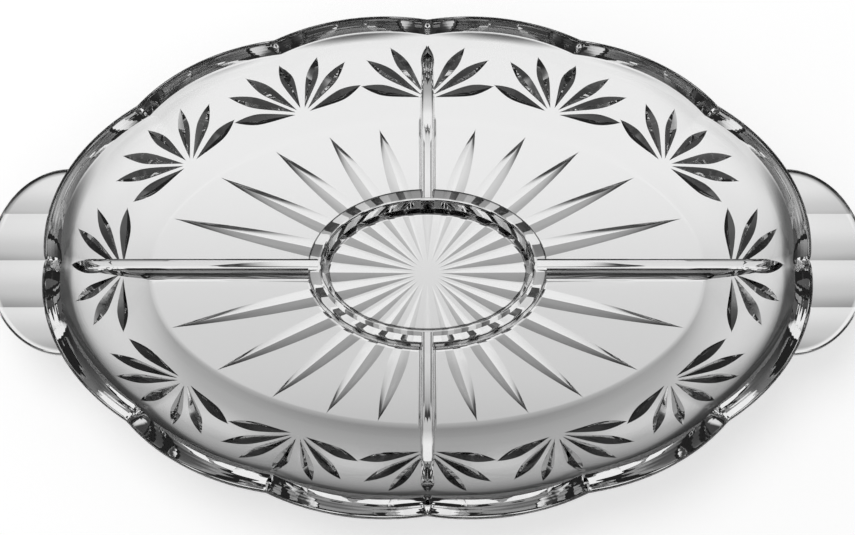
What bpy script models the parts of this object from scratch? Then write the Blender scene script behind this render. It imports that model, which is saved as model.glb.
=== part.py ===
"""Oval divided relish dish in clear pressed crystal, in metres, +Z up, origin under the middle of its foot.

The dish has a flat floor with a star cut in its underside, a flared wall with fans of leaf cuts on its
outside, a thick scalloped rim, a raised ring in the middle, four dividers and a fluted tab handle at each
end. Each is a solid of its own, with a thin seam to its neighbours.
"""

import math

import bmesh
import bpy
from mathutils import Vector

# Seam between two neighbouring solids
SEAM = 0.0003

# Foot and floor
FOOT_HALF_LENGTH = 0.1104
FOOT_HALF_WIDTH = 0.0621
FLOOR_THICKNESS = 0.0055

# Wall: runs are measured outward from the edge of the foot
WALL_HEIGHT = 0.025
WALL_RUN = 0.0303
WALL_TOP_THICKNESS = 0.0069
WALL_THICKNESS = 0.0052
FOOT_SWEEP = 0.009
BELLY_INSET = 0.0108
BELLY_HEIGHT = 0.0105

# Rim
RIM_HEIGHT = 0.033
LIP_WIDTH = 0.0072
LIP_SHOULDER_HEIGHT = 0.029
LIP_FLARE = 0.0024
CUSP_ANGLES = (0.0, 39.5, 65.75)
LOBE_BULGE = 0.0023
LOBE_START_HEIGHT = 0.010
CUSP_DROP = 0.0008

# Ring and dividers
RING_HALF_LENGTH = 0.0422
RING_HALF_WIDTH = 0.0252
RING_HEIGHT = 0.0175
RING_FOOT_WIDTH = 0.0090
RIDGE_TOP_WIDTH = 0.0034
RIDGE_ROUND = 0.0015
RIDGE_FLARE = 0.0012
RIDGE_FLARE_HEIGHT = 0.0020
DIVIDER_HEIGHT = 0.0172
DIVIDER_FOOT_WIDTH = 0.0068

# Star in the underside
RAY_COUNT = 24
STAR_HALF_LENGTH = 0.1065
STAR_HALF_WIDTH = 0.0583
RAY_SPREAD = 0.81
RAY_DEPTH = 0.0018
RAY_WIDEST = 0.036

# Fans on the outside of the wall
SIDE_LEAVES = 3
LEAF_FIRST_LEAN = 30.0
LEAF_STEP_ANGLE = 23.0
FAN_BASE_CLIMB = 0.0108
LEAF_START = 0.0035
LEAF_MIDDLE_LENGTH = 0.0240
LEAF_SIDE_LENGTH = 0.0245
LEAF_WIDEST_SHARE = 0.55
LEAF_DEPTH = 0.0014
CUT_HALF_ANGLE = 63.0
CUT_OVERSHOOT = 0.0006
TIP_SHARES = (0.45, 0.8, 1.0)

# Handles
HANDLE_WIDTH = 0.0710
HANDLE_REACH = 0.0219
HANDLE_ROOT_INSET = 0.0075
HANDLE_THICKNESS = 0.0052
HANDLE_EDGE_RADIUS = 0.0021
HANDLE_DROP = 0.0018
FLUTES_PER_HANDLE = 4
FLUTE_DEPTH = 0.0010

# Fineness of the curved shapes
STEPS_PER_LOBE = 8
WALL_STEPS = 6
CLIMB_STEPS = 48
LIP_STEPS = 6
RING_SEGMENTS = 64
CROWN_STEPS = 2
HANDLE_STEPS = 24
EDGE_STEPS = 3
FLUTE_SEGMENTS = 96

GLASS_COLOUR = (0.93, 0.94, 0.94, 1.0)
GLASS_ROUGHNESS = 0.03
GLASS_IOR = 1.54


def bezier(points, share):
    """The point at a share of the way along a curve with four control points, each (run, height)."""
    rest = 1.0 - share
    weights = (rest**3, 3 * rest**2 * share, 3 * rest * share**2, share**3)
    run = sum(w * p[0] for w, p in zip(weights, points))
    height = sum(w * p[1] for w, p in zip(weights, points))
    return run, height


def outside_curve():
    """Control points of the wall's outside, from the foot's edge to the underside of the rim."""
    belly = (WALL_RUN - BELLY_INSET, BELLY_HEIGHT)
    return (0.0, 0.0), (FOOT_SWEEP, 0.0), belly, (WALL_RUN, WALL_HEIGHT)


def inside_curve():
    """Control points of the wall's inside, a wall's thickness from its outside."""
    slope = math.atan2(WALL_HEIGHT - BELLY_HEIGHT, BELLY_INSET)
    shift_in = WALL_THICKNESS * math.sin(slope)
    shift_up = WALL_THICKNESS * math.cos(slope)
    sweep = (FOOT_SWEEP - shift_in / 2, FLOOR_THICKNESS)
    belly = (WALL_RUN - BELLY_INSET - shift_in, BELLY_HEIGHT + shift_up)
    return (0.0, FLOOR_THICKNESS), sweep, belly, (WALL_RUN - WALL_TOP_THICKNESS, WALL_HEIGHT)


def cusp_angles():
    """The angle of every cusp of the rim in turn, the first quarter mirrored into the other three."""
    quarter = list(CUSP_ANGLES)
    half = quarter + [90.0] + [180.0 - a for a in reversed(quarter[1:])]
    return half + [180.0 + a for a in half]


def columns():
    """(angle, place in its lobe from -1 to 1) for each column of vertices around the dish."""
    found = []
    cusps = cusp_angles() + [360.0]
    for start, end in zip(cusps, cusps[1:]):
        for step in range(STEPS_PER_LOBE):
            share = step / STEPS_PER_LOBE
            found.append((math.radians(start + (end - start) * share), 2 * share - 1))
    return found


def lobe_share(height):
    """How much of the scallops there is at a height: none on the lower wall, all of them at the rim."""
    share = (height - LOBE_START_HEIGHT) / (WALL_HEIGHT - LOBE_START_HEIGHT)
    share = min(max(share, 0.0), 1.0)
    return share * share * (3 - 2 * share)


def dish_point(angle, place, run, height):
    """A point of the dish: run outward from the foot's oval, with the lobes and the dip at each cusp."""
    run += LOBE_BULGE * lobe_share(height) * (1 - place * place)
    above = max(height - LIP_SHOULDER_HEIGHT, 0.0) / (RIM_HEIGHT - LIP_SHOULDER_HEIGHT)
    height -= CUSP_DROP * above * place * place
    x = (FOOT_HALF_LENGTH + run) * math.cos(angle)
    y = (FOOT_HALF_WIDTH + run) * math.sin(angle)
    return Vector((x, y, height))


def dish_loops(profile):
    """One closed loop of points around the dish for each (run, height) of a profile."""
    around = columns()
    return [[dish_point(angle, place, run, height) for angle, place in around] for run, height in profile]


def oval_loops(half_length, half_width, profile):
    """One plain oval loop for each (offset, height) of a profile."""
    angles = [math.tau * i / RING_SEGMENTS for i in range(RING_SEGMENTS)]
    loops = []
    for offset, height in profile:
        length, width = half_length + offset, half_width + offset
        loops.append([Vector((length * math.cos(a), width * math.sin(a), height)) for a in angles])
    return loops


def loft(name, loops, capped):
    """A solid skinned over loops: a disc-like one with both ends capped, or else a closed ring."""
    mesh = bpy.data.meshes.new(name)
    bm = bmesh.new()
    rings = [[bm.verts.new(point) for point in loop] for loop in loops]
    pairs = list(zip(rings, rings[1:]))
    if not capped:
        pairs.append((rings[-1], rings[0]))
    for lower, upper in pairs:
        count = len(lower)
        for i in range(count):
            after = (i + 1) % count
            bm.faces.new((lower[i], lower[after], upper[after], upper[i]))
    if capped:
        bm.faces.new(reversed(rings[0]))
        bm.faces.new(rings[-1])
    bmesh.ops.recalc_face_normals(bm, faces=bm.faces)
    bmesh.ops.triangulate(bm, faces=bm.faces)
    bm.to_mesh(mesh)
    bm.free()
    return bpy.data.objects.new(name, mesh)


def add_part(part):
    """Puts a finished piece in the dish's collection, with a glass material of its own."""
    material = bpy.data.materials.new(part.name + "_glass")
    material.use_nodes = True
    shader = material.node_tree.nodes["Principled BSDF"]
    shader.inputs["Base Color"].default_value = GLASS_COLOUR
    shader.inputs["Roughness"].default_value = GLASS_ROUGHNESS
    shader.inputs["Metallic"].default_value = 0.0
    shader.inputs["IOR"].default_value = GLASS_IOR
    shader.inputs["Transmission Weight"].default_value = 1.0
    part.data.materials.clear()
    part.data.materials.append(material)
    dish_collection.objects.link(part)
    return part


def add_cutter(cutter):
    """Puts a cutter in the cutters' collection, as a wire that doesn't render."""
    cutter_collection.objects.link(cutter)
    cutter.display_type = "WIRE"
    cutter.hide_render = True
    return cutter


def combine(part, cutter, operation, solver="EXACT"):
    """A Boolean of one piece with one cutter."""
    modifier = part.modifiers.new(cutter.name, "BOOLEAN")
    modifier.operation = operation
    modifier.solver = solver
    modifier.object = cutter


def swept_v(name, path, outward, along):
    """A V-shaped cutter with its keel on a path: two flanks that open outward past the glass."""
    reach = 2 * CUT_OVERSHOOT + max(RAY_DEPTH, LEAF_DEPTH)
    spread = reach * math.tan(math.radians(CUT_HALF_ANGLE))
    sections = []
    for keel, normal in zip(path, outward):
        side = normal.cross(along).normalized() * spread
        top = keel + normal * reach
        sections.append([keel, top + side, top - side])
    return loft(name, sections, capped=True)


def cut_depths(length, widest, depth):
    """(distance, depth) along a cut that grows from its start to its widest place and closes to a point."""
    slope = depth / widest
    rest = length - widest
    stations = [(-CUT_OVERSHOOT / slope, -CUT_OVERSHOOT), (widest, depth)]
    stations += [(widest + rest * share, depth * (1 - share**2)) for share in TIP_SHARES]
    end_slope = 2 * depth / rest
    stations.append((length + CUT_OVERSHOOT / end_slope, -CUT_OVERSHOOT))
    return stations


def ray_cutters():
    """The star: V cuts that run from the middle of the underside to points on an oval."""
    cutters = []
    for index in range(RAY_COUNT):
        turn = math.tau * index / RAY_COUNT
        along = Vector((math.cos(turn), RAY_SPREAD * math.sin(turn), 0)).normalized()
        reach = 1 / math.hypot(along.x / STAR_HALF_LENGTH, along.y / STAR_HALF_WIDTH)
        down = Vector((0, 0, -1))
        stations = cut_depths(reach, min(RAY_WIDEST, reach / 2), RAY_DEPTH)
        path = [along * distance - down * depth for distance, depth in stations]
        cutters.append(add_cutter(swept_v(f"ray_cut_{index:02d}", path, [down] * len(path), along)))
    return cutters


def wall_climbs():
    """(climb, run, height) up the wall's outside: the way along its surface from the edge of the foot."""
    found = [(0.0, 0.0, 0.0)]
    for step in range(1, CLIMB_STEPS + 1):
        run, height = bezier(outside_curve(), step / CLIMB_STEPS)
        climb, last_run, last_height = found[-1]
        found.append((climb + math.hypot(run - last_run, height - last_height), run, height))
    return found


def wall_point(angle, climb, climbs):
    """A point on the wall's outside, so far up it and at that angle around the dish."""
    after = next((i for i, row in enumerate(climbs) if row[0] >= climb), len(climbs) - 1)
    after = max(after, 1)
    (start, run, height), (end, next_run, next_height) = climbs[after - 1], climbs[after]
    share = (climb - start) / (end - start)
    return dish_point(angle, 1.0, run + (next_run - run) * share, height + (next_height - height) * share)


def wall_outward(angle, climb, climbs):
    """The direction out of the glass there."""
    turn, step = 0.01, 0.0005
    around = wall_point(angle + turn, climb, climbs) - wall_point(angle - turn, climb, climbs)
    up_wall = wall_point(angle, climb + step, climbs) - wall_point(angle, climb - step, climbs)
    return around.cross(up_wall).normalized()


def angle_beside(angle, sideways, climb, climbs):
    """The angle of the point a way sideways around the wall from another."""
    turn = 0.01
    middle = angle
    for _ in range(4):
        stretch = wall_point(middle + turn, climb, climbs) - wall_point(middle - turn, climb, climbs)
        middle = angle + sideways / 2 * (2 * turn) / stretch.length
    return 2 * middle - angle


def leaf_cutter(name, fan_angle, lean, length, climbs):
    """One leaf of a fan: a V cut that leans from the fan's axis, with its keel below the wall's surface."""
    path, outward = [], []
    for distance, depth in cut_depths(length, length * LEAF_WIDEST_SHARE, LEAF_DEPTH):
        way = LEAF_START + distance
        climb = FAN_BASE_CLIMB + way * math.cos(lean)
        angle = angle_beside(fan_angle, way * math.sin(lean), climb, climbs)
        normal = wall_outward(angle, climb, climbs)
        path.append(wall_point(angle, climb, climbs) - normal * depth)
        outward.append(normal)
    return swept_v(name, path, outward, (path[-1] - path[0]).normalized())


def fan_cutters():
    """A fan of leaves under every cusp of the rim."""
    cutters = []
    climbs = wall_climbs()
    leaves = [(0.0, LEAF_MIDDLE_LENGTH)]
    for index in range(SIDE_LEAVES):
        lean = math.radians(LEAF_FIRST_LEAN + LEAF_STEP_ANGLE * index)
        leaves += [(lean, LEAF_SIDE_LENGTH), (-lean, LEAF_SIDE_LENGTH)]
    for fan, angle in enumerate(cusp_angles()):
        for leaf, (lean, length) in enumerate(leaves):
            name = f"fan_{fan:02d}_leaf_{leaf}"
            cutters.append(add_cutter(leaf_cutter(name, math.radians(angle), lean, length, climbs)))
    return cutters


def floor_plate():
    """The flat oval floor, with the star cut in its underside."""
    edge = -SEAM / 2
    plate = loft("floor_plate", dish_loops([(edge, 0.0), (edge, FLOOR_THICKNESS)]), capped=True)
    add_part(plate)
    for cutter in ray_cutters():
        combine(plate, cutter, "DIFFERENCE")


def side_wall():
    """The flared wall from the floor's edge to the rim, with the fans cut in its outside."""
    shares = [i / WALL_STEPS for i in range(WALL_STEPS + 1)]
    outside = [bezier(outside_curve(), share) for share in shares]
    inside = [bezier(inside_curve(), share) for share in reversed(shares)]
    outside[0] = (SEAM / 2, 0.0)
    inside[-1] = (SEAM / 2, FLOOR_THICKNESS)
    wall = loft("side_wall", dish_loops(outside + inside), capped=False)
    add_part(wall)
    # The leaves of a fan crowd together at its base, which this solver cuts cleanly
    for cutter in fan_cutters():
        combine(wall, cutter, "DIFFERENCE", solver="MANIFOLD")


def lip_profile(gap):
    """(run, height) over the rounded lip from its outer foot to its inner foot, grown by a gap."""
    middle = WALL_RUN + LIP_FLARE - LIP_WIDTH / 2
    half = LIP_WIDTH / 2 + gap
    rise = RIM_HEIGHT - LIP_SHOULDER_HEIGHT + gap
    profile = [(WALL_RUN + gap, WALL_HEIGHT + SEAM)]
    for step in range(LIP_STEPS + 1):
        turn = math.pi * step / LIP_STEPS
        profile.append((middle + half * math.cos(turn), LIP_SHOULDER_HEIGHT + rise * math.sin(turn)))
    profile.append((WALL_RUN - WALL_TOP_THICKNESS - gap, WALL_HEIGHT + SEAM))
    return profile


def scalloped_rim():
    """The thick rounded lip, its outline made of lobes that meet in cusps."""
    add_part(loft("scalloped_rim", dish_loops(lip_profile(0.0)), capped=False))


def ridge_profile(foot_width, height, gap):
    """(offset, height) over a ridge that stands on the floor, from one foot to the other, grown by a gap."""
    foot = FLOOR_THICKNESS + SEAM - gap
    top = FLOOR_THICKNESS + height + gap
    crown = RIDGE_TOP_WIDTH / 2 + gap
    half = [(foot_width / 2 + gap, foot), (foot_width / 2 - RIDGE_FLARE + gap, foot + RIDGE_FLARE_HEIGHT)]
    for step in range(CROWN_STEPS):
        tilt = math.pi / 2 * step / CROWN_STEPS
        half.append((crown * math.cos(tilt), top - RIDGE_ROUND * (1 - math.sin(tilt))))
    return half + [(0.0, top)] + [(-offset, z) for offset, z in reversed(half)]


def ring_solid(name, gap):
    """The ring, or the same grown by a gap."""
    profile = ridge_profile(RING_FOOT_WIDTH, RING_HEIGHT, gap)
    return loft(name, oval_loops(RING_HALF_LENGTH, RING_HALF_WIDTH, profile), capped=False)


def bowl_space():
    """The space inside the wall and over the floor, smaller by the seam, that the dividers fill."""
    shares = [i / WALL_STEPS for i in range(WALL_STEPS + 1)]
    profile = [(run - SEAM, height + SEAM) for run, height in (bezier(inside_curve(), s) for s in shares)]
    return add_cutter(loft("bowl_space", dish_loops(profile), capped=True))


def divider(name, turn, length, ring_room, bowl):
    """A ridge from the ring to the wall, along a direction turned about the middle."""
    profile = ridge_profile(DIVIDER_FOOT_WIDTH, DIVIDER_HEIGHT, 0.0)
    ahead = Vector((math.cos(turn), math.sin(turn), 0))
    side = Vector((-math.sin(turn), math.cos(turn), 0))
    start = RING_HALF_LENGTH if abs(ahead.x) > abs(ahead.y) else RING_HALF_WIDTH
    ends = []
    for distance in (start, length):
        ends.append([ahead * distance + side * offset + Vector((0, 0, z)) for offset, z in profile])
    ridge = add_part(loft(name, ends, capped=True))
    combine(ridge, bowl, "INTERSECT")
    combine(ridge, ring_room, "DIFFERENCE")


def ring_and_dividers():
    """The raised ring in the middle and the four dividers that join it to the wall."""
    add_part(ring_solid("centre_ring", 0.0))
    ring_room = add_cutter(ring_solid("ring_room", SEAM))
    bowl = bowl_space()
    long_way = FOOT_HALF_LENGTH + WALL_RUN
    short_way = FOOT_HALF_WIDTH + WALL_RUN
    divider("divider_right", 0.0, long_way, ring_room, bowl)
    divider("divider_far", math.pi / 2, short_way, ring_room, bowl)
    divider("divider_left", math.pi, long_way, ring_room, bowl)
    divider("divider_near", -math.pi / 2, short_way, ring_room, bowl)


def rim_room():
    """The outside of the lip and the wall below it, grown by the seam, that cuts the handles' roots."""
    outer = lip_profile(SEAM)[: LIP_STEPS // 2 + 2]
    below = (outer[0][0], WALL_HEIGHT - HANDLE_THICKNESS)
    above = (outer[-1][0], RIM_HEIGHT + HANDLE_THICKNESS)
    return add_cutter(loft("rim_room", dish_loops([below] + outer + [above]), capped=True))


def handle_tab(name):
    """A D-shaped tab with a rounded edge: half ovals around a straight root that lies under the rim."""
    root = FOOT_HALF_LENGTH + WALL_RUN + LIP_FLARE - HANDLE_ROOT_INSET
    core = HANDLE_THICKNESS / 2 - HANDLE_EDGE_RADIUS
    turns = [math.pi * (i / HANDLE_STEPS - 0.5) for i in range(HANDLE_STEPS + 1)]
    lower = [(-core, math.pi / 2 * (step / EDGE_STEPS - 1)) for step in range(EDGE_STEPS + 1)]
    upper = [(-level, -tilt) for level, tilt in reversed(lower)]
    loops = []
    for level, tilt in lower + upper:
        inset = HANDLE_EDGE_RADIUS * (1 - math.cos(tilt))
        height = level + HANDLE_EDGE_RADIUS * math.sin(tilt)
        length = HANDLE_ROOT_INSET + HANDLE_REACH - inset
        half = HANDLE_WIDTH / 2 - inset
        loops.append([Vector((root + length * math.cos(t), half * math.sin(t), height)) for t in turns])
    return loft(name, loops, capped=True)


def flute_cutters(top):
    """Long cylinders over a handle that hollow its top into flutes running outward."""
    pitch = HANDLE_WIDTH / FLUTES_PER_HANDLE
    radius = (pitch / 2) ** 2 / (2 * FLUTE_DEPTH) + FLUTE_DEPTH / 2
    length = 2 * (FOOT_HALF_LENGTH + WALL_RUN + HANDLE_REACH + HANDLE_ROOT_INSET)
    cutters = []
    for index in range(FLUTES_PER_HANDLE):
        y = pitch * (index - (FLUTES_PER_HANDLE - 1) / 2)
        bpy.ops.mesh.primitive_cylinder_add(
            vertices=FLUTE_SEGMENTS,
            radius=radius,
            depth=length,
            location=(0, y, top - FLUTE_DEPTH + radius),
            rotation=(0, math.pi / 2, 0),
        )
        cylinder = bpy.context.object
        cylinder.name = f"flute_{index}"
        cylinder.users_collection[0].objects.unlink(cylinder)
        cutters.append(add_cutter(cylinder))
    return cutters


def handles():
    """The two tab handles, hollowed by four flutes each, with their roots cut to the rim."""
    top = RIM_HEIGHT - HANDLE_DROP
    room = rim_room()
    flutes = flute_cutters(top)
    for name, turn in (("handle_right", 0.0), ("handle_left", math.pi)):
        handle = add_part(handle_tab(name))
        handle.location = (0, 0, top - HANDLE_THICKNESS / 2)
        handle.rotation_euler = (0, 0, turn)
        for flute in flutes:
            combine(handle, flute, "DIFFERENCE")
        combine(handle, room, "DIFFERENCE")


for leftover in list(bpy.data.objects):
    bpy.data.objects.remove(leftover)
dish_collection = bpy.data.collections.new("divided_dish")
cutter_collection = bpy.data.collections.new("dish_cutters")
bpy.context.scene.collection.children.link(dish_collection)
bpy.context.scene.collection.children.link(cutter_collection)

floor_plate()
side_wall()
scalloped_rim()
ring_and_dividers()
handles()
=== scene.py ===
# %% [markdown]
# # An oval divided dish of pressed crystal
# This lesson dresses a dish for sweets or relish: clear heavy glass with a scalloped rim, a raised ring and
# four dividers that make five compartments, a star cut in the underside, fans of leaves cut in the outside
# of the wall, and a fluted tab handle at each end. The frame holds the measured solids, and everything here
# is built in the same metres, so nothing has to be fitted afterwards.

# %% Load the measured frame
import math

import bmesh
import bpy
import numpy as np
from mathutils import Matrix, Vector


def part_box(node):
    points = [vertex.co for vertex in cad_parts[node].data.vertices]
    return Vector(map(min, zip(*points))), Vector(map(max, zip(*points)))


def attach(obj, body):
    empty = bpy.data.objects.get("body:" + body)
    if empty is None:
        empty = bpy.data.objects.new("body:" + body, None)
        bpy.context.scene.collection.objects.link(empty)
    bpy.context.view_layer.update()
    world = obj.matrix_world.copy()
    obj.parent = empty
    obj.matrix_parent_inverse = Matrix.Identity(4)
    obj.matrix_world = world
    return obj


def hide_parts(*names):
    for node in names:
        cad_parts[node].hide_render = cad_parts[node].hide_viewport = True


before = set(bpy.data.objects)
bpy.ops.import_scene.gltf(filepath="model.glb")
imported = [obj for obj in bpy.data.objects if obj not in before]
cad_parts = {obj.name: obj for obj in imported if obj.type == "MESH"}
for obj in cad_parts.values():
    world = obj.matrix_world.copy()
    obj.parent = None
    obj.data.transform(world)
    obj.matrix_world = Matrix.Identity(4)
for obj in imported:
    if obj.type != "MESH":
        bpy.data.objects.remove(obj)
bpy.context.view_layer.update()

MM = 0.001

# %% [markdown]
# ## Camera
# The photograph looks down on the dish from almost straight above, a little from the near side. The far and
# near cusps, leaf tips and star tips of a symmetric dish give the tilt, the distance and the focal length
# together.

# %% Camera at the photograph's angle
IMAGE_WIDTH = 855
SENSOR_WIDTH = 36.0
NEAREST_SEEN = 0.01
CAMERA_TILT = math.radians(80.5)
CAMERA_DISTANCE = 0.581
FOCAL_PIXELS = 1470.0
AIM_UP_PICTURE = 2.47 * MM

toward_camera = Vector((0, -math.cos(CAMERA_TILT), math.sin(CAMERA_TILT)))
up_picture = Vector((0, math.sin(CAMERA_TILT), math.cos(CAMERA_TILT)))
camera_data = bpy.data.cameras.new("camera")
camera_data.sensor_width = SENSOR_WIDTH
camera_data.lens = SENSOR_WIDTH * FOCAL_PIXELS / IMAGE_WIDTH
camera_data.clip_start = NEAREST_SEEN
camera = bpy.data.objects.new("camera", camera_data)
camera.location = up_picture * AIM_UP_PICTURE + toward_camera * CAMERA_DISTANCE
camera.rotation_euler = (math.pi / 2 - CAMERA_TILT, 0, 0)
bpy.context.collection.objects.link(camera)
bpy.context.scene.camera = camera
print("lens, mm:", round(camera_data.lens, 1))

# %% [markdown]
# ## Node trees as Python
# Materials and Geometry Nodes are graphs of sockets. A small class wraps a socket, so that arithmetic on it
# adds Math nodes, and one method adds any other node. It serves the shaders and the cutting tree alike.


# %% A socket that Python can calculate with
class Wire:
    """An output socket in a node tree. Arithmetic on it adds Math nodes."""

    def __init__(self, tree, socket=None):
        self.tree = tree
        self.socket = socket

    def node(self, kind, settings=(), values=()):
        """Adds a node, sets its settings first and then its inputs, and gives its first output."""
        made = self.tree.nodes.new(kind)
        for name, value in dict(settings).items():
            setattr(made, name, value)
        for name, value in dict(values).items():
            target = made.inputs[name]
            if isinstance(value, Wire):
                self.tree.links.new(value.socket, target)
            else:
                target.default_value = value
        return Wire(self.tree, made.outputs[0] if made.outputs else None)

    def output(self, name):
        """Another output of the same node."""
        return Wire(self.tree, self.socket.node.outputs[name])

    def math(self, operation, first, second):
        """A Math node with two inputs."""
        return self.node("ShaderNodeMath", {"operation": operation}, {0: first, 1: second})

    def __add__(self, other):
        return self.math("ADD", self, other)

    def __radd__(self, other):
        return self.math("ADD", other, self)

    def __sub__(self, other):
        return self.math("SUBTRACT", self, other)

    def __rsub__(self, other):
        return self.math("SUBTRACT", other, self)

    def __mul__(self, other):
        return self.math("MULTIPLY", self, other)

    def __rmul__(self, other):
        return self.math("MULTIPLY", other, self)

    def __truediv__(self, other):
        return self.math("DIVIDE", self, other)

    def __rtruediv__(self, other):
        return self.math("DIVIDE", other, self)


def material_start(name):
    """A new material, a Wire to build it with and its output node."""
    material = bpy.data.materials.new(name)
    material.use_nodes = True
    material.node_tree.nodes.clear()
    output = material.node_tree.nodes.new("ShaderNodeOutputMaterial")
    return material, Wire(material.node_tree), output


# %% [markdown]
# ## Crystal
# Clear, heavy glass without colour. It is polished after pressing, so it is almost without roughness. Its
# high index is what bends the table's light into bright and dark bands. The bowl and all its cuts share
# this one finish.

# %% Crystal material
CRYSTAL_TINT = (0.985, 0.985, 0.985, 1)
CRYSTAL_INDEX = 1.53
crystal, wire, output = material_start("crystal")
shader = wire.node("ShaderNodeBsdfPrincipled", (), {
    "Base Color": CRYSTAL_TINT, "Roughness": 0.0, "IOR": CRYSTAL_INDEX, "Transmission Weight": 1.0})
crystal.node_tree.links.new(shader.socket, output.inputs["Surface"])
print("crystal, refractive index:", CRYSTAL_INDEX)

# %% [markdown]
# ## The rules of the shape
# Every level of the bowl is an oval: the oval of the foot, let out by a run. A wall is then a curve of run
# against height, carried around the dish. The rim's twelve lobes bulge between cusps, and the cusps sit
# where the fans are. Each part of the section is a curve with four control points, (run, height) in
# millimetres. The lip and the inner wall were chosen for the bands of light they give, because no view
# shows the section itself.

# %% Sizes from the frame, and those that only the looks need
foot_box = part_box("floor_plate")
HALF_SEAM = 0.15 * MM
FOOT_LENGTH = foot_box[1][0] + HALF_SEAM
FOOT_WIDTH = foot_box[1][1] + HALF_SEAM
FLOOR = foot_box[1][2]
RIM_TOP = 33.6 * MM
CUSP_ANGLES = (0.0, 39.5, 65.75)
LOBE_BULGE = 2.3 * MM
LOBE_START = 10.0 * MM
CUSP_DROP = 0.8 * MM
WALL_TOP = 26.5 * MM
SHOULDER = 29.4 * MM
LENGTH_FLARE = 1.03
OUTSIDE = [(0.0, 0.0), (9.0, 0.0), (20.0, 11.0), (30.9, 25.0)]
NECK_OUT = [(30.9, 25.0), (31.8, 26.2), (32.4, 27.4), (32.4, 29.4)]
LIP_OUT = [(32.4, 29.4), (32.4, 30.9), (32.0, 31.5), (31.2, 31.8)]
LIP_TOP = [(31.2, 31.8), (29.3, 32.4), (27.1, 33.0), (25.2, 33.6)]
NECK_IN = [(25.2, 33.6), (24.5, 31.4), (23.5, 28.7), (22.1, 26.5)]
INSIDE = [(22.1, 26.5), (14.4, 15.0), (2.6, 5.5), (-3.0, 5.5)]
COLUMNS_PER_LOBE = 24
print("foot, mm:", round(FOOT_LENGTH / MM, 1), round(FOOT_WIDTH / MM, 1))
print("rim top, mm:", round(RIM_TOP / MM, 1))


# %% [markdown]
# ## Ovals, lobes and joining
# These helpers turn the rules into points, skin loops of points into closed meshes, and join or cut meshes.
# A pressed dish has no seams, so every form ends up fused into one body of glass.

# %% Ovals, lobes and curves
def curve(points, steps):
    """(run, height) in metres at even steps along a cubic curve given in millimetres."""
    share = np.linspace(0, 1, steps)[:, None]
    p = np.array(points) * MM
    rest = 1 - share
    return rest**3 * p[0] + 3 * rest**2 * share * p[1] + 3 * rest * share**2 * p[2] + share**3 * p[3]


def all_cusps():
    """The angle of each cusp of the rim, the first quarter mirrored into the other three."""
    quarter = list(CUSP_ANGLES)
    half = quarter + [90.0] + [180.0 - a for a in reversed(quarter[1:])]
    return half + [180.0 + a for a in half]


def columns():
    """The angle of each column of points around the dish, and its place in its lobe from -1 to 1."""
    cusps = np.array(all_cusps() + [360.0])
    share = np.arange(COLUMNS_PER_LOBE) / COLUMNS_PER_LOBE
    angles = cusps[:-1, None] + np.diff(cusps)[:, None] * share
    places = np.tile(2 * share - 1, (len(cusps) - 1, 1))
    return np.radians(angles.ravel()), places.ravel()


def smooth_share(value, low, high):
    """0 below low, 1 above high, and a smooth change between."""
    share = np.clip((value - low) / (high - low), 0, 1)
    return share * share * (3 - 2 * share)


def bowl_loop(run, height, extra=0.0):
    """One loop of points around the dish, with the rim's lobes and the dip at each cusp."""
    angle, place = columns()
    out = run + extra + LOBE_BULGE * smooth_share(height, LOBE_START, WALL_TOP) * (1 - place**2)
    dip = CUSP_DROP * np.clip((height - SHOULDER) / (RIM_TOP - SHOULDER), 0, 1) * place**2
    return np.stack([(FOOT_LENGTH + out * LENGTH_FLARE) * np.cos(angle),
                     (FOOT_WIDTH + out) * np.sin(angle), height - dip], 1)


def loft(name, loops, capped=True):
    """A closed mesh skinned over loops: capped at both ends, or joined back to its first loop."""
    bm = bmesh.new()
    rings = [[bm.verts.new(point) for point in loop] for loop in loops]
    pairs = list(zip(rings, rings[1:])) + ([] if capped else [(rings[-1], rings[0])])
    for low, high in pairs:
        for i in range(len(low)):
            after = (i + 1) % len(low)
            bm.faces.new((low[i], low[after], high[after], high[i]))
    if capped:
        bm.faces.new(rings[0])
        bm.faces.new(rings[-1])
    bmesh.ops.recalc_face_normals(bm, faces=bm.faces)
    bmesh.ops.triangulate(bm, faces=bm.faces)
    mesh = bpy.data.meshes.new(name)
    bm.to_mesh(mesh)
    bm.free()
    made = bpy.data.objects.new(name, mesh)
    bpy.context.collection.objects.link(made)
    return made


def applied(piece):
    """Bakes a piece's modifiers into its mesh."""
    graph = bpy.context.evaluated_depsgraph_get()
    mesh = bpy.data.meshes.new_from_object(piece.evaluated_get(graph))
    piece.modifiers.clear()
    piece.data = mesh
    return piece


def carve(piece, tool, operation, solver="EXACT"):
    """A Boolean of a piece with a tool, which is used up."""
    change = piece.modifiers.new(operation.lower(), "BOOLEAN")
    change.operation = operation
    change.solver = solver
    change.object = tool
    applied(piece)
    bpy.data.objects.remove(tool)
    return piece


print("cusps at, degrees:", all_cusps())

# %% [markdown]
# ## The bowl
# One closed skin: under the floor, up the outside, over the lip, down the inside and across the floor. The
# lip rises inward to a crisp inner edge, and fine ripples run along its top, as fire-polished glass keeps
# from the mould. Glass shows both of its faces, so wall and floor have a thickness everywhere.

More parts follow.
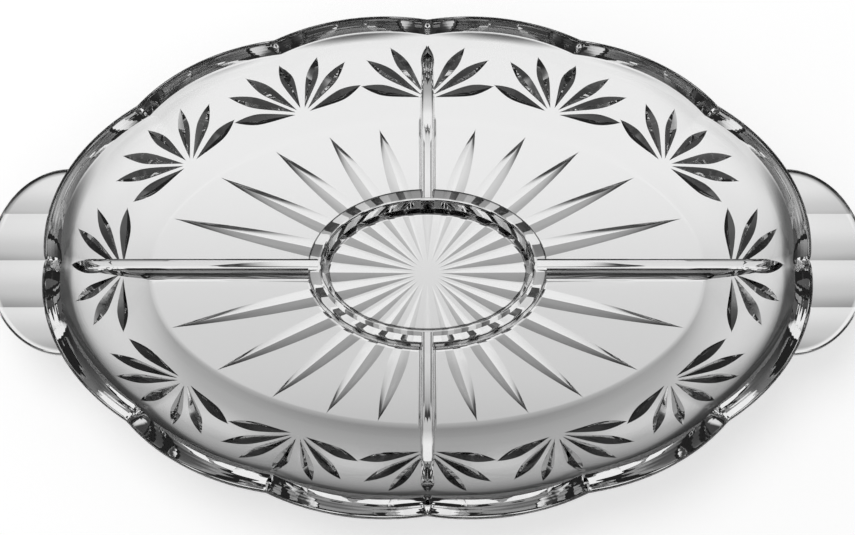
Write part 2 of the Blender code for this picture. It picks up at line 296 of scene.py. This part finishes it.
# %% Skin of the bowl
lip_middle = (LIP_OUT[0][0] + LIP_TOP[-1][0]) / 2 * MM
OUTSIDE_STEPS = 26
NECK_OUT_STEPS = 6
LIP_OUT_STEPS = 9
LIP_TOP_STEPS = 33
NECK_IN_STEPS = 9
INSIDE_STEPS = 28
FLAT_SHARES = (0.25, 0.5, 0.75)
RIPPLE_HEIGHT = 0.006 * MM
RIPPLES = 5
lip_top = curve(LIP_TOP, LIP_TOP_STEPS)
lip_share = np.linspace(0, 1, LIP_TOP_STEPS)
lip_top[:, 1] += RIPPLE_HEIGHT * np.sin(math.tau * RIPPLES * lip_share) * np.sin(math.pi * lip_share)
bowl_profile = np.vstack([
    curve(OUTSIDE, OUTSIDE_STEPS)[:-1],
    curve(NECK_OUT, NECK_OUT_STEPS)[:-1],
    curve(LIP_OUT, LIP_OUT_STEPS)[:-1],
    lip_top[:-1],
    curve(NECK_IN, NECK_IN_STEPS)[:-1],
    curve(INSIDE, INSIDE_STEPS),
])
underside = [bowl_loop(0.0, 0.0) * share for share in FLAT_SHARES]
floor = [bowl_loop(0.0, 0.0) * share + np.array([0, 0, FLOOR]) for share in reversed(FLAT_SHARES)]
dish = loft("crystal_dish", underside + [bowl_loop(run, height) for run, height in bowl_profile] + floor)
dish.data.materials.append(crystal)
print("bowl faces:", len(dish.data.polygons))

# %% [markdown]
# ## Ring and dividers
# Both are ridges with rounded edges and a fillet at the foot, as a mould leaves them. The ring is lower on
# its outer side: its top slopes outward from the inner edge. A ridge is a section of corners, each with its
# own radius. The ring carries its section around an oval.

# %% Ridges on the floor
SUNK = 2.0 * MM
BEDDED = 0.02 * MM
RING_LENGTH = 41.6 * MM
RING_WIDTH = 25.9 * MM
RING_SEGMENTS = 160
RING_CORNERS = [(4.8, 0.0, 1.3), (4.2, 14.0, 2.4), (-1.0, 17.3, 0.8), (-3.0, 0.0, 0.8)]
DIVIDER_CORNERS = [(3.0, 0.0, 1.2), (2.2, 17.2, 1.5), (-2.2, 17.2, 1.5), (-3.0, 0.0, 1.2)]
FOOT_SPREAD = 1.6 * MM
ARC_STEPS = 7


def rounded(corners):
    """Points along a path of (offset, height, radius) corners, each turned into an arc."""
    path = []
    for before, corner, after in zip(corners, corners[1:], corners[2:]):
        middle = Vector(corner[:2])
        back = (Vector(before[:2]) - middle).normalized()
        ahead = (Vector(after[:2]) - middle).normalized()
        opening = back.angle(ahead)
        reach = corner[2] / math.tan(opening / 2)
        centre = middle + (back + ahead).normalized() * corner[2] / math.sin(opening / 2)
        first = middle + back * reach - centre
        last = middle + ahead * reach - centre
        for share in np.linspace(0, 1, ARC_STEPS):
            path.append(centre + first.slerp(last, share) * corner[2])
    return path


def ridge_section(corners):
    """The section of a ridge on the floor, from under one foot over the crown to under the other."""
    solid = [(x * MM, FLOOR + z * MM, r * MM) for x, z, r in corners]
    near, far = solid[0][0] + FOOT_SPREAD, solid[-1][0] - FOOT_SPREAD
    bed = FLOOR - BEDDED
    path = rounded([(near, bed)] + solid + [(far, bed)])
    ends = [(near, FLOOR - SUNK), (near, bed)], [(far, bed), (far, FLOOR - SUNK)]
    return ends[0] + [tuple(point) for point in path] + ends[1]


def oval(length, width, height, segments):
    """A plain oval loop of points at a height."""
    turn = np.arange(segments) * math.tau / segments
    return np.stack([length * np.cos(turn), width * np.sin(turn), np.full(segments, height)], 1)


ring_section = ridge_section(RING_CORNERS)
ring_loops = [oval(RING_LENGTH + x, RING_WIDTH + x, z, RING_SEGMENTS) for x, z in ring_section]
ring = loft("ring", ring_loops, capped=False)
carve(dish, ring, "UNION")
print("with ring:", len(dish.data.polygons))

# %% [markdown]
# ## Dividers
# Four straight ridges run from the ring to the wall and part the bowl into its compartments. Each is drawn
# out past the wall and then kept only where it lies in the room inside the bowl, which is let out a little
# so that the ridge bites into the glass.

# %% Dividers, cut to the inside of the wall
BITE = 2.0 * MM
ROOM_STEPS = 26
PAST_FOOT = 26.5 * MM
LENGTHWISE = (RING_LENGTH, FOOT_LENGTH + PAST_FOOT)
CROSSWISE = (RING_WIDTH, FOOT_WIDTH + PAST_FOOT)


def divider(turn, start, length):
    """A straight ridge from the ring to the wall, in a direction turned about the middle."""
    ahead = np.array([math.cos(turn), math.sin(turn), 0])
    side = np.array([-math.sin(turn), math.cos(turn), 0])
    section = ridge_section(DIVIDER_CORNERS)
    flat = [(side * x + np.array([0, 0, z])) for x, z in section]
    ridge = loft("divider", [[ahead * way + point for point in flat] for way in (start, length)])
    inside = curve(INSIDE[::-1], ROOM_STEPS)
    room = loft("room", [bowl_loop(run, height, BITE) - np.array([0, 0, BITE]) for run, height in inside])
    return carve(ridge, room, "INTERSECT")


quarter_turn = math.pi / 2
for turn, (start, length) in (
    (0.0, LENGTHWISE),
    (quarter_turn, CROSSWISE),
    (math.pi, LENGTHWISE),
    (-quarter_turn, CROSSWISE),
):
    carve(dish, divider(turn, start, length), "UNION")
print("with dividers:", len(dish.data.polygons))

# %% [markdown]
# ## Handles
# Each handle is a D-shaped tab with a rounded edge, hollowed on top by four flutes that run outward. Its
# root goes into the middle of the lip, so the union leaves no seam.

# %% Fluted tabs
handle_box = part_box("handle_right")
HANDLE_TIP = handle_box[1][0]
HANDLE_HALF = 35.5 * MM
HANDLE_TOP = handle_box[1][2]
HANDLE_THICK = handle_box[1][2] - handle_box[0][2]
HANDLE_EDGE = 2.1 * MM
HANDLE_ROOT = FOOT_LENGTH + 25.0 * MM
FLUTES = 4
FLUTE_DEPTH = 1.2 * MM
FLUTE_ENDS = (0.05, 0.25)
FLUTE_SEGMENTS = 360
TAB_SEGMENTS = 96
TAB_EDGE_STEPS = 8
LIP_CORE_MARGIN = 5 * MM


def tab():
    """The plain tab at the right end."""
    core = HANDLE_THICK / 2 - HANDLE_EDGE
    lower = [(-core, tilt) for tilt in np.linspace(-math.pi / 2, 0, TAB_EDGE_STEPS)]
    upper = [(core, -tilt) for level, tilt in reversed(lower)]
    turns = np.linspace(-math.pi / 2, math.pi / 2, TAB_SEGMENTS)
    loops = []
    for level, tilt in lower + upper:
        inset = HANDLE_EDGE * (1 - math.cos(tilt))
        height = HANDLE_TOP - HANDLE_THICK / 2 + level + HANDLE_EDGE * math.sin(tilt)
        x = HANDLE_ROOT + (HANDLE_TIP - HANDLE_ROOT - inset) * np.cos(turns)
        loops.append(np.stack([x, (HANDLE_HALF - inset) * np.sin(turns), np.full(len(turns), height)], 1))
    return loft("tab", loops)


def flute(index):
    """A long cylinder over the tab that hollows one flute."""
    pitch = 2 * HANDLE_HALF / FLUTES
    radius = (pitch / 2) ** 2 / (2 * FLUTE_DEPTH) + FLUTE_DEPTH / 2
    y = pitch * (index - (FLUTES - 1) / 2)
    z = HANDLE_TOP - FLUTE_DEPTH + radius
    turns = np.linspace(0, math.tau, FLUTE_SEGMENTS, endpoint=False)
    circle = [(y + radius * math.sin(t), z + radius * math.cos(t)) for t in turns]
    return loft("flute", [[(x, *point) for point in circle] for x in FLUTE_ENDS])


def handle(side):
    """A fluted tab, trimmed to the middle of the lip, at the right end (1) or the left end (-1)."""
    made = tab()
    for index in range(FLUTES):
        carve(made, flute(index), "DIFFERENCE")
    core_heights = (WALL_TOP - LIP_CORE_MARGIN, RIM_TOP + LIP_CORE_MARGIN)
    lip_core = loft("lip_core", [bowl_loop(lip_middle, height) for height in core_heights])
    carve(made, lip_core, "DIFFERENCE")
    if side < 0:
        for vertex in made.data.vertices:
            vertex.co.x *= -1
        made.data.flip_normals()
    return made


for side in (1, -1):
    carve(dish, handle(side), "UNION")
print("with handles:", len(dish.data.polygons))

# %% [markdown]
# ## Cuts that follow a surface
# A cutter's wheel leaves a V groove that deepens and closes again, so its outline is a pointed leaf. One
# Geometry Nodes tree makes all of them: it lays a line at each point in the direction it is given, drops
# the line onto the glass with a raycast, sinks its middle below the surface, and sweeps a V along it. Its
# inputs set how deep and wide the groove is, how blunt its tip, and how round its V.

# %% The tree that lays V cuts on glass
STATIONS = 33
END_SHARE = 0.02
LIFT = 0.02 * MM
RAY_DROP = 0.04
LOWER_HALF = -0.001
CUT_INPUTS = (
    ("Surface", "Object"),
    ("Depth", "Float"),
    ("Half Width", "Float"),
    ("Tip Power", "Float"),
    ("Roundness", "Float"),
    ("Softness", "Float"),
    ("Overshoot", "Float"),
    ("Profile Points", "Int"),
    ("Glass", "Material"),
)


def cut_tree():
    """Point attributes (ahead, outward, reach, widest) place each groove. The inputs shape its section."""
    tree = bpy.data.node_groups.new("v_cuts", "GeometryNodeTree")
    tree.interface.new_socket("Geometry", in_out="INPUT", socket_type="NodeSocketGeometry")
    for name, kind in CUT_INPUTS:
        tree.interface.new_socket(name, in_out="INPUT", socket_type="NodeSocket" + kind)
    tree.interface.new_socket("Geometry", in_out="OUTPUT", socket_type="NodeSocketGeometry")
    start = Wire(tree).node("NodeGroupInput")
    deepest = start.output("Depth")
    half_width = start.output("Half Width")
    overshoot = start.output("Overshoot")

    def named(name, kind="FLOAT"):
        return start.node("GeometryNodeInputNamedAttribute", {"data_type": kind}, {"Name": name})

    def keep(geometry, name, value, kind="FLOAT"):
        return start.node("GeometryNodeStoreNamedAttribute", {"data_type": kind},
                          {"Geometry": geometry, "Name": name, "Value": value})

    def vector(operation, first, second):
        return start.node("ShaderNodeVectorMath", {"operation": operation}, {0: first, 1: second})

    def scaled(value, by):
        return start.node("ShaderNodeVectorMath", {"operation": "SCALE"}, {0: value, "Scale": by})

    def lesser(first, second):
        return start.node("ShaderNodeMath", {"operation": "SMOOTH_MIN"},
                          {0: first, 1: second, 2: start.output("Softness")})

    line = start.node("GeometryNodeMeshLine", {"mode": "END_POINTS"},
                      {"Count": STATIONS, "Start Location": (-END_SHARE, 0, 0),
                       "Offset": (1 + END_SHARE, 0, 0)})
    position = start.node("GeometryNodeInputPosition")
    line = keep(line, "along", start.node("ShaderNodeSeparateXYZ", (), {0: position}))
    turn = start.node("FunctionNodeAxesToRotation", {"primary_axis": "X", "secondary_axis": "Z"},
                      {"Primary Axis": named("ahead", "FLOAT_VECTOR"),
                       "Secondary Axis": named("outward", "FLOAT_VECTOR")})
    reach = named("reach")
    size = start.node("ShaderNodeCombineXYZ", (), {"X": reach, "Y": 1.0, "Z": 1.0})
    lines = start.node("GeometryNodeInstanceOnPoints", (),
                       {"Points": start, "Instance": line, "Rotation": turn, "Scale": size})
    lines = start.node("GeometryNodeRealizeInstances", (), {0: lines})

    outward = named("outward", "FLOAT_VECTOR")
    widest = named("widest")
    way = named("along") * reach
    grow = way / widest
    past = start.math("MAXIMUM", way - widest, 0.0) / (reach - widest)
    taper = start.math("MAXIMUM", 1.0 - past * past, 0.0)
    deep = lesser(grow, start.math("POWER", taper, start.output("Tip Power")))
    wide = start.math("MAXIMUM", lesser(grow, taper), 0.0)
    depth = deepest * deep - LIFT
    width = half_width * wide + overshoot * half_width / deepest

    surface = start.node("GeometryNodeObjectInfo", (), {"Object": start.output("Surface")})
    surface = surface.output("Geometry")
    hit = start.node("GeometryNodeRaycast", {"data_type": "FLOAT_VECTOR", "mapping": "INTERPOLATED"},
                     {"Target Geometry": surface, "Attribute": start.node("GeometryNodeInputNormal"),
                      "Source Position": vector("ADD", position, scaled(outward, RAY_DROP)),
                      "Ray Direction": scaled(outward, -1.0), "Ray Length": 2 * RAY_DROP})
    facing = hit.output("Attribute")
    keel = vector("SUBTRACT", hit.output("Hit Position"), scaled(facing, depth))
    side = vector("CROSS_PRODUCT", facing, named("ahead", "FLOAT_VECTOR"))
    lines = keep(lines, "keel", keel, "FLOAT_VECTOR")
    lines = keep(lines, "rise", scaled(facing, depth + overshoot), "FLOAT_VECTOR")
    lines = keep(lines, "spread", scaled(side, width), "FLOAT_VECTOR")
    path = start.node("GeometryNodeMeshToCurve", (), {"Mesh": lines})

    circle = start.node("GeometryNodeCurvePrimitiveCircle", (),
                        {"Resolution": start.output("Profile Points"), "Radius": 1.0})
    across = start.node("ShaderNodeSeparateXYZ", (), {0: position})
    groove = 1.0 - start.math("POWER", start.math("ABSOLUTE", across, 0.0), start.output("Roundness"))
    below = start.math("LESS_THAN", across.output("Y"), LOWER_HALF)
    circle = keep(circle, "across", across)
    circle = keep(circle, "height", 1.0 - groove * below)
    swept = start.node("GeometryNodeCurveToMesh", (),
                       {"Curve": path, "Profile Curve": circle, "Fill Caps": True})
    risen = scaled(named("rise", "FLOAT_VECTOR"), named("height"))
    lifted = vector("ADD", named("keel", "FLOAT_VECTOR"), risen)
    placed = vector("ADD", lifted, scaled(named("spread", "FLOAT_VECTOR"), named("across")))
    swept = start.node("GeometryNodeSetPosition", (), {"Geometry": swept, "Position": placed})
    swept = start.node("GeometryNodeRealizeInstances", (), {0: swept})
    swept = start.node("GeometryNodeSetMaterial", (),
                       {"Geometry": swept, "Material": start.output("Glass")})
    start.node("NodeGroupOutput", (), {0: swept})
    return tree


V_CUTS = cut_tree()
identifiers = {s.name: s.identifier for s in V_CUTS.interface.items_tree if s.in_out == "INPUT"}
print("cut tree nodes:", len(V_CUTS.nodes))


# %% [markdown]
# ## Taking a set of grooves out of the glass
# The tree's grooves become a plain mesh, which is turned the right way out and taken from the dish. They
# are laid on a copy of the uncut dish, so that one cut doesn't pull the next one down.

# %% Cutting one set of grooves
def cut(places, depth, half_width, overshoot, tip_power=1.0, roundness=1.0, softness=0.0, profile_points=4):
    """Cuts grooves at places, each (start, ahead, outward, reach, widest), none overlapping another."""
    mesh = bpy.data.meshes.new("cut_places")
    mesh.from_pydata([p[0] for p in places], [], [])
    for name, column in (("ahead", 1), ("outward", 2)):
        layer = mesh.attributes.new(name, "FLOAT_VECTOR", "POINT")
        layer.data.foreach_set("vector", np.array([p[column] for p in places], dtype=np.float32).ravel())
    for name, column in (("reach", 3), ("widest", 4)):
        layer = mesh.attributes.new(name, "FLOAT", "POINT")
        layer.data.foreach_set("value", np.array([p[column] for p in places], dtype=np.float32))
    tool = bpy.data.objects.new("cut_places", mesh)
    bpy.context.collection.objects.link(tool)
    nodes = tool.modifiers.new("cuts", "NODES")
    nodes.node_group = V_CUTS
    settings = {"Surface": whole, "Depth": depth, "Half Width": half_width, "Tip Power": tip_power,
                "Roundness": roundness, "Softness": softness, "Overshoot": overshoot,
                "Profile Points": profile_points, "Glass": crystal}
    for name, value in settings.items():
        nodes[identifiers[name]] = value
    applied(tool)
    bm = bmesh.new()
    bm.from_mesh(tool.data)
    if bm.calc_volume(signed=True) < 0:
        bmesh.ops.reverse_faces(bm, faces=bm.faces)
    bm.to_mesh(tool.data)
    bm.free()
    carve(dish, tool, "DIFFERENCE", "MANIFOLD")


dish.data.shade_smooth()
whole = bpy.data.objects.new("whole_dish", dish.data.copy())
bpy.context.collection.objects.link(whole)
print("uncut dish, faces:", len(whole.data.polygons))

# %% [markdown]
# ## The star
# Twenty-four rays run in the underside from the middle to points on an oval. They crowd together at the
# middle, so they are cut in three rounds of every third ray.

# %% Star rays
RAYS = 24
STAR_LENGTH = 106.5 * MM
STAR_WIDTH = 58.3 * MM
RAY_SPREAD = 0.81
RAY_START = 4.5 * MM
RAY_WIDEST = 36.0 * MM
RAY_DEPTH = 1.8 * MM
RAY_HALF_WIDTH = 3.7 * MM
RAY_TIP_POWER = 0.66
RAY_ROUNDNESS = 1.1
RAY_SOFTNESS = 0.15
RAY_PROFILE_POINTS = 24
RAY_OVERSHOOT = 0.08 * MM
RAY_ROUNDS = 3


def ray(index):
    """One ray of the star: start, direction, the way out of the glass, reach and widest place."""
    turn = math.tau * index / RAYS
    ahead = Vector((math.cos(turn), RAY_SPREAD * math.sin(turn), 0)).normalized()
    reach = 1 / math.hypot(ahead.x / STAR_LENGTH, ahead.y / STAR_WIDTH) - RAY_START
    return ahead * RAY_START, ahead, (0, 0, -1), reach, RAY_WIDEST - RAY_START


for first in range(RAY_ROUNDS):
    cut([ray(i) for i in range(first, RAYS, RAY_ROUNDS)], RAY_DEPTH, RAY_HALF_WIDTH, RAY_OVERSHOOT,
        RAY_TIP_POWER, RAY_ROUNDNESS, RAY_SOFTNESS, RAY_PROFILE_POINTS)
print("with star:", len(dish.data.polygons))

# %% [markdown]
# ## The fans
# Seven leaves spread from a point low on the wall under each cusp. The flat fan is laid against the middle
# of the wall and dropped onto it, one leaf of every fan at a time, so neighbours never meet in one tool.

# %% Fans of leaves
FAN_ANGLES = (0.0, 38.09, 65.45)
FAN_TWISTS = (0.0, -1.4, -1.4)
MIDDLE_LEAF = (0.0, 25.0)
SIDE_LEAVES = ((31.6, 27.6), (52.5, 30.3), (74.8, 27.4))
LEAVES = [MIDDLE_LEAF] + [(side * lean, length) for lean, length in SIDE_LEAVES for side in (1, -1)]
FAN_BASE = 10.0 * MM
LEAF_START = 3.0 * MM
LEAF_WIDEST = 0.55
LEAF_DEPTH = 2.3 * MM
LEAF_HALF_WIDTH = 2.5 * MM
LEAF_OVERSHOOT = 0.15 * MM
LEAF_SOFTNESS = 0.5
AROUND_STEPS = 20
WALL_CURVE_STEPS = 401
SIDE_STEP = 1.0 * MM
wall_curve = curve(OUTSIDE, WALL_CURVE_STEPS)
wall_climb = np.concatenate([[0], np.cumsum(np.hypot(*np.diff(wall_curve, axis=0).T))])


def wall_place(angle, climb, aside):
    """A point on the outside of the wall: a climb up its curve, and a way around it from an angle."""
    run = np.interp(climb, wall_climb, wall_curve[:, 0])
    height = np.interp(climb, wall_climb, wall_curve[:, 1])
    length = FOOT_LENGTH + run * LENGTH_FLARE
    width = FOOT_WIDTH + run
    for step in range(AROUND_STEPS):
        angle += aside / AROUND_STEPS / math.hypot(length * math.sin(angle), width * math.cos(angle))
    return Vector((length * math.cos(angle), width * math.sin(angle), height))


def all_fans():
    """The angle and the twist of each fan, the first quarter mirrored into the other three."""
    quarter = list(zip(FAN_ANGLES, FAN_TWISTS))
    half = quarter + [(90.0, 0.0)] + [(180.0 - angle, -twist) for angle, twist in reversed(quarter[1:])]
    return half + [(180.0 + angle, twist) for angle, twist in half]


def leaf(angle, lean, length):
    """One leaf of a fan: start, direction, the way out of the glass, reach and widest place."""
    def spot(way, off=0.0):
        climb = FAN_BASE + way * math.cos(lean) - off * math.sin(lean)
        return wall_place(angle, climb, way * math.sin(lean) + off * math.cos(lean))

    start = spot(LEAF_START)
    tip = spot(length)
    ahead = (tip - start).normalized()
    across = spot(length / 2, SIDE_STEP) - spot(length / 2, -SIDE_STEP)
    outward = across.cross(ahead).normalized()
    if outward.z > 0:
        outward = -outward
    reach = (tip - start).length
    return start, ahead, outward, reach, reach * LEAF_WIDEST


for lean, length in LEAVES:
    cut([leaf(math.radians(angle), math.radians(lean + twist), length * MM) for angle, twist in all_fans()],
        LEAF_DEPTH, LEAF_HALF_WIDTH, LEAF_OVERSHOOT, softness=LEAF_SOFTNESS)
print("with fans:", len(dish.data.polygons))

# %% [markdown]
# ## Nicks on the rim
# Across the lip at each cusp runs one more short cut, where the lobes meet. It is shallow and about 2 mm
# wide, and it keeps the corner between two lobes crisp. The uncut copy has then done its work and goes.

# %% Nicks at the cusps
NICK_START = 32.0 * MM
NICK_LENGTH = 6.4 * MM
NICK_DEPTH = 0.8 * MM
NICK_HALF_WIDTH = 1.0 * MM
NICK_OVERSHOOT = 0.1 * MM


def nick(angle):
    """A short cut over the lip, from just outside it inward."""
    length = FOOT_LENGTH + NICK_START * LENGTH_FLARE
    width = FOOT_WIDTH + NICK_START
    around = Vector((-length * math.sin(angle), width * math.cos(angle), 0))
    inward = Vector((0, 0, 1)).cross(around).normalized()
    start = Vector((length * math.cos(angle), width * math.sin(angle), RIM_TOP))
    return start, inward, (0, 0, 1), NICK_LENGTH, NICK_LENGTH / 2


cut([nick(math.radians(angle)) for angle in all_cusps()], NICK_DEPTH, NICK_HALF_WIDTH, NICK_OVERSHOOT)
print("with nicks:", len(dish.data.polygons))
bpy.data.objects.remove(whole)

# %% [markdown]
# ## Polish
# Flat faces stay flat and round ones round: edges sharper than a few degrees are kept crisp, and the rest
# is shaded smooth with large faces leading, so that the floor doesn't bend light near its edge.

# %% Crisp edges and true normals
SHARP = math.radians(14)
LARGE_FACES_LEAD = 100
CM3 = 1e-6
bm = bmesh.new()
bm.from_mesh(dish.data)
bmesh.ops.triangulate(bm, faces=bm.faces)
open_edges = sum(1 for edge in bm.edges if len(edge.link_faces) != 2)
volume = bm.calc_volume()
bm.to_mesh(dish.data)
bm.free()
dish.data.shade_smooth()
dish.data.set_sharp_from_angle(angle=SHARP)
weighted = dish.modifiers.new("true_normals", "WEIGHTED_NORMAL")
weighted.keep_sharp = True
weighted.weight = LARGE_FACES_LEAD
applied(dish)
print("triangles:", len(dish.data.polygons), "open edges:", open_edges)
print("glass, cm3:", round(volume / CM3, 1))
print("finishes on the dish:", [material.name for material in dish.data.materials])

# %% [markdown]
# ## Table
# A plain pale table takes the dish's shadow. To the camera and in reflections it glows a little, so that it
# reads white without more light on the dish. Rays that come through the glass pass it and meet the light
# panel below.

# %% Pale table
WHITE = (1, 1, 1, 1)
TABLE_COLOUR = (0.8, 0.8, 0.8, 1)
TABLE_GLOW = 0.55
TABLE_SIZE = (6, 6)
TABLE_DROP = 0.0002


def stage_plane(name, size, location, material, rotation=(0, 0, 0)):
    """A flat rectangle that belongs to the studio and not to the dish."""
    mesh = bpy.data.meshes.new(name)
    half_x = size[0] / 2
    half_y = size[1] / 2
    corners = [(-half_x, -half_y, 0), (half_x, -half_y, 0), (half_x, half_y, 0), (-half_x, half_y, 0)]
    mesh.from_pydata(corners, [], [(0, 1, 2, 3)])
    made = bpy.data.objects.new(name, mesh)
    made.location = location
    made.rotation_euler = rotation
    made.data.materials.append(material)
    bpy.context.collection.objects.link(made)
    return made


def only_through_glass(plane):
    """Hides a light plane from everything but rays that come through glass."""
    plane.visible_camera = False
    plane.visible_diffuse = False
    plane.visible_shadow = False
    plane.visible_glossy = False


table_cloth, wire, output = material_start("pale_table")
rays = wire.node("ShaderNodeLightPath")
pale = wire.node("ShaderNodeBsdfDiffuse", (), {"Color": TABLE_COLOUR})
white = wire.node("ShaderNodeEmission", (), {"Color": WHITE, "Strength": TABLE_GLOW})
shown = wire.node("ShaderNodeAddShader", (), {0: pale, 1: white})
seen = wire.math("MAXIMUM", rays, rays.output("Is Glossy Ray"))
table = wire.node("ShaderNodeMixShader", (), {0: seen, 1: pale, 2: shown})
clear = wire.node("ShaderNodeBsdfTransparent")
table = wire.node("ShaderNodeMixShader", (), {0: rays.output("Is Transmission Ray"), 1: table, 2: clear})
table_cloth.node_tree.links.new(table.socket, output.inputs["Surface"])
stage_plane("table", TABLE_SIZE, (0, 0, -TABLE_DROP), table_cloth)
print("table, m:", TABLE_SIZE)

# %% [markdown]
# ## Light from below
# Clear glass shows only the light behind it. A wide panel far below the table is seen through the glass
# alone, and it is so far away that its brightness depends only on the direction in which a ray leaves the
# dish. It is brightest straight below and a little beyond, falls off to the sides and toward the viewer,
# and brightens again at low slopes, so that the dish also reads as clear glass from its sides and its back.

# %% Light panel
PANEL_DROP = 3.0
PANEL_SIZE = (60, 60)
# Each fade: the slopes where it starts and ends, and the levels before and after
NEAR_RISE = (-0.36, 0.04, 0.02, 0.44)
MIDDLE_RISE = (-0.02, 0.10, 0.0, 0.22)
FAR_RISE = (0.08, 0.28, 0.0, 0.24)
SIDE_SKEW = 0.4
SKEWED_SIDE_FALL = (0.29, 0.50, 1.0, 0.12)
SIDE_FALL = (0.20, 0.45, 1.0, 0.82)
FAR_FALL = (0.60, 0.73, 1.0, 0.05)
FAINT_BEYOND = (0.9, 1.4, 0.0, 0.14)
LOW_BEHIND = (-1.5, -1.25, 0.55, 0.0)
LOWEST_BEHIND = (-3.6, -2.8, 0.35, 0.0)
LOW_ASIDE = (0.9, 1.2, 0.0, 0.55)
LOW_AHEAD = (1.6, 2.0, 0.0, 0.4)

panel_light, wire, output = material_start("light_panel")
place = wire.node("ShaderNodeTexCoord").output("Object")
xyz = wire.node("ShaderNodeSeparateXYZ", (), {0: place})
aside = wire.math("ABSOLUTE", xyz, 0.0) / PANEL_DROP
ahead = xyz.output("Y") / PANEL_DROP


def fade(value, start, end, low, high):
    """A soft change from one level to another."""
    return wire.node("ShaderNodeMapRange", {"interpolation_type": "SMOOTHSTEP"},
                     {"Value": value, "From Min": start, "From Max": end, "To Min": low, "To Max": high})


level = fade(ahead, *NEAR_RISE) + fade(ahead, *MIDDLE_RISE)
level = level + fade(ahead, *FAR_RISE)
level = level * fade(aside - SIDE_SKEW * ahead, *SKEWED_SIDE_FALL) * fade(aside, *SIDE_FALL)
level = level * fade(ahead, *FAR_FALL) + fade(ahead, *FAINT_BEYOND)
level = level + fade(ahead, *LOW_BEHIND) - fade(ahead, *LOWEST_BEHIND)
level = level + fade(aside, *LOW_ASIDE) + fade(ahead, *LOW_AHEAD)
glow = wire.node("ShaderNodeEmission", (), {"Color": WHITE, "Strength": level})
panel_light.node_tree.links.new(glow.socket, output.inputs["Surface"])
panel = stage_plane("light_panel", PANEL_SIZE, (0, 0, -PANEL_DROP), panel_light)
only_through_glass(panel)
print("light panel nodes:", len(panel_light.node_tree.nodes))

# %% [markdown]
# ## Card beyond the dish
# The near lip sends its rays up and away from the viewer. A dim upright card stands there, so that the lip
# shows grey streaks and doesn't go black.

# %% Upright card
CARD_GLOW = 0.3
CARD_SIZE = (4.0, 4.5)
CARD_PLACE = (0, 1.6, 1.25)
card_light, wire, output = material_start("far_card")
glow = wire.node("ShaderNodeEmission", (), {"Color": WHITE, "Strength": CARD_GLOW})
card_light.node_tree.links.new(glow.socket, output.inputs["Surface"])
card = stage_plane("far_card", CARD_SIZE, CARD_PLACE, card_light, (math.pi / 2, 0, 0))
only_through_glass(card)
print("card, m:", CARD_SIZE)

# %% [markdown]
# ## Room and lamp
# An even pale room and one soft lamp overhead give the table its tone and the dish its shadow. The camera
# sees the room as a white backdrop, and the glass sees it nearly dark, as it would with dark walls around a
# light table. Light needs many passes to find its way through cut glass, so the bounces are raised.

# %% World, lamp and bounces
ROOM_LEVEL = 0.35
BACKDROP_LEVEL = 1.0
ROOM_IN_GLASS = 0.05
LAMP_SIZE = 0.8
LAMP_POWER = 4.0
LAMP_PLACE = (-0.3, 0.4, 1.1)
GLASS_BOUNCES = 24
CLEAR_BOUNCES = 16

world = bpy.data.worlds.new("studio")
bpy.context.scene.world = world
world.use_nodes = True
world.node_tree.nodes.clear()
wire = Wire(world.node_tree)
rays = wire.node("ShaderNodeLightPath")
room = wire.node("ShaderNodeBackground", (), {"Color": WHITE, "Strength": ROOM_LEVEL})
backdrop = wire.node("ShaderNodeBackground", (), {"Color": WHITE, "Strength": BACKDROP_LEVEL})
dark = wire.node("ShaderNodeBackground", (), {"Color": WHITE, "Strength": ROOM_IN_GLASS})
through = wire.node("ShaderNodeMixShader", (), {0: rays.output("Is Transmission Ray"), 1: room, 2: dark})
sky = wire.node("ShaderNodeMixShader", (), {0: rays, 1: through, 2: backdrop})
wire.tree.links.new(sky.socket, wire.tree.nodes.new("ShaderNodeOutputWorld").inputs["Surface"])

lamp_data = bpy.data.lights.new("overhead", "AREA")
lamp_data.shape = "DISK"
lamp_data.size = LAMP_SIZE
lamp_data.energy = LAMP_POWER
lamp = bpy.data.objects.new("overhead", lamp_data)
lamp.location = LAMP_PLACE
lamp.rotation_euler = (Vector((0, 0, 0)) - lamp.location).to_track_quat("-Z", "Y").to_euler()
lamp.visible_glossy = False
lamp.visible_transmission = False
bpy.context.collection.objects.link(lamp)
bpy.context.scene.cycles.max_bounces = GLASS_BOUNCES
bpy.context.scene.cycles.transmission_bounces = GLASS_BOUNCES
bpy.context.scene.cycles.transparent_max_bounces = CLEAR_BOUNCES
bpy.context.scene.view_settings.view_transform = "Standard"
print("lamp, W:", LAMP_POWER)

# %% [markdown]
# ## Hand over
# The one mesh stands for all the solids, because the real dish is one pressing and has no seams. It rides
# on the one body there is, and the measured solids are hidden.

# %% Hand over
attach(dish, "root")
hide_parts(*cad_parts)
